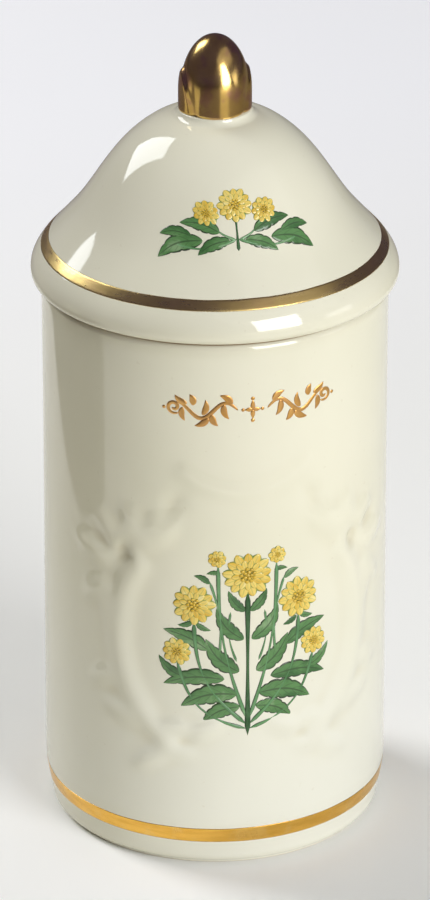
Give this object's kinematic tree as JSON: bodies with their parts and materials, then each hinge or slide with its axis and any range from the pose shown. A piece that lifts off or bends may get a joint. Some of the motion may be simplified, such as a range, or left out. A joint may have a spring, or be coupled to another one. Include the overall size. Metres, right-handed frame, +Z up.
{
  "type": "spice jar",
  "caption": "Cylindrical porcelain spice jar with a domed lid that lifts off, a gilt bud knob, gilt bands and a finned seal ring round the lid's plug.",
  "frame": {"origin": "centre of the foot ring, on the surface that the jar stands on", "axes": "+Z up along the jar's axis, -Y towards the decorated front"},
  "size_m": [0.0472, 0.0472, 0.1073],
  "materials": {
    "porcelain": "glossy ivory glaze",
    "gilt": "burnished gold over glaze",
    "seal": "milky, soft, satin"
  },
  "bodies": {
    "jar": {"jar_body": "porcelain"},
    "seal": {"lid_seal": "seal"},
    "lid": {"lid_dome": "porcelain", "lid_knob": "gilt"}
  },
  "joints": [
    {"name": "lid_lift", "type": "slide", "parent": "jar", "child": "seal", "axis": [0, 0, 1], "range_m": [0, 0.06]},
    {"name": "lid_turn", "type": "hinge", "parent": "seal", "child": "lid", "pos_m": [0, 0, 0.0747], "axis": [0, 0, 1], "continuous": true}
  ]
}
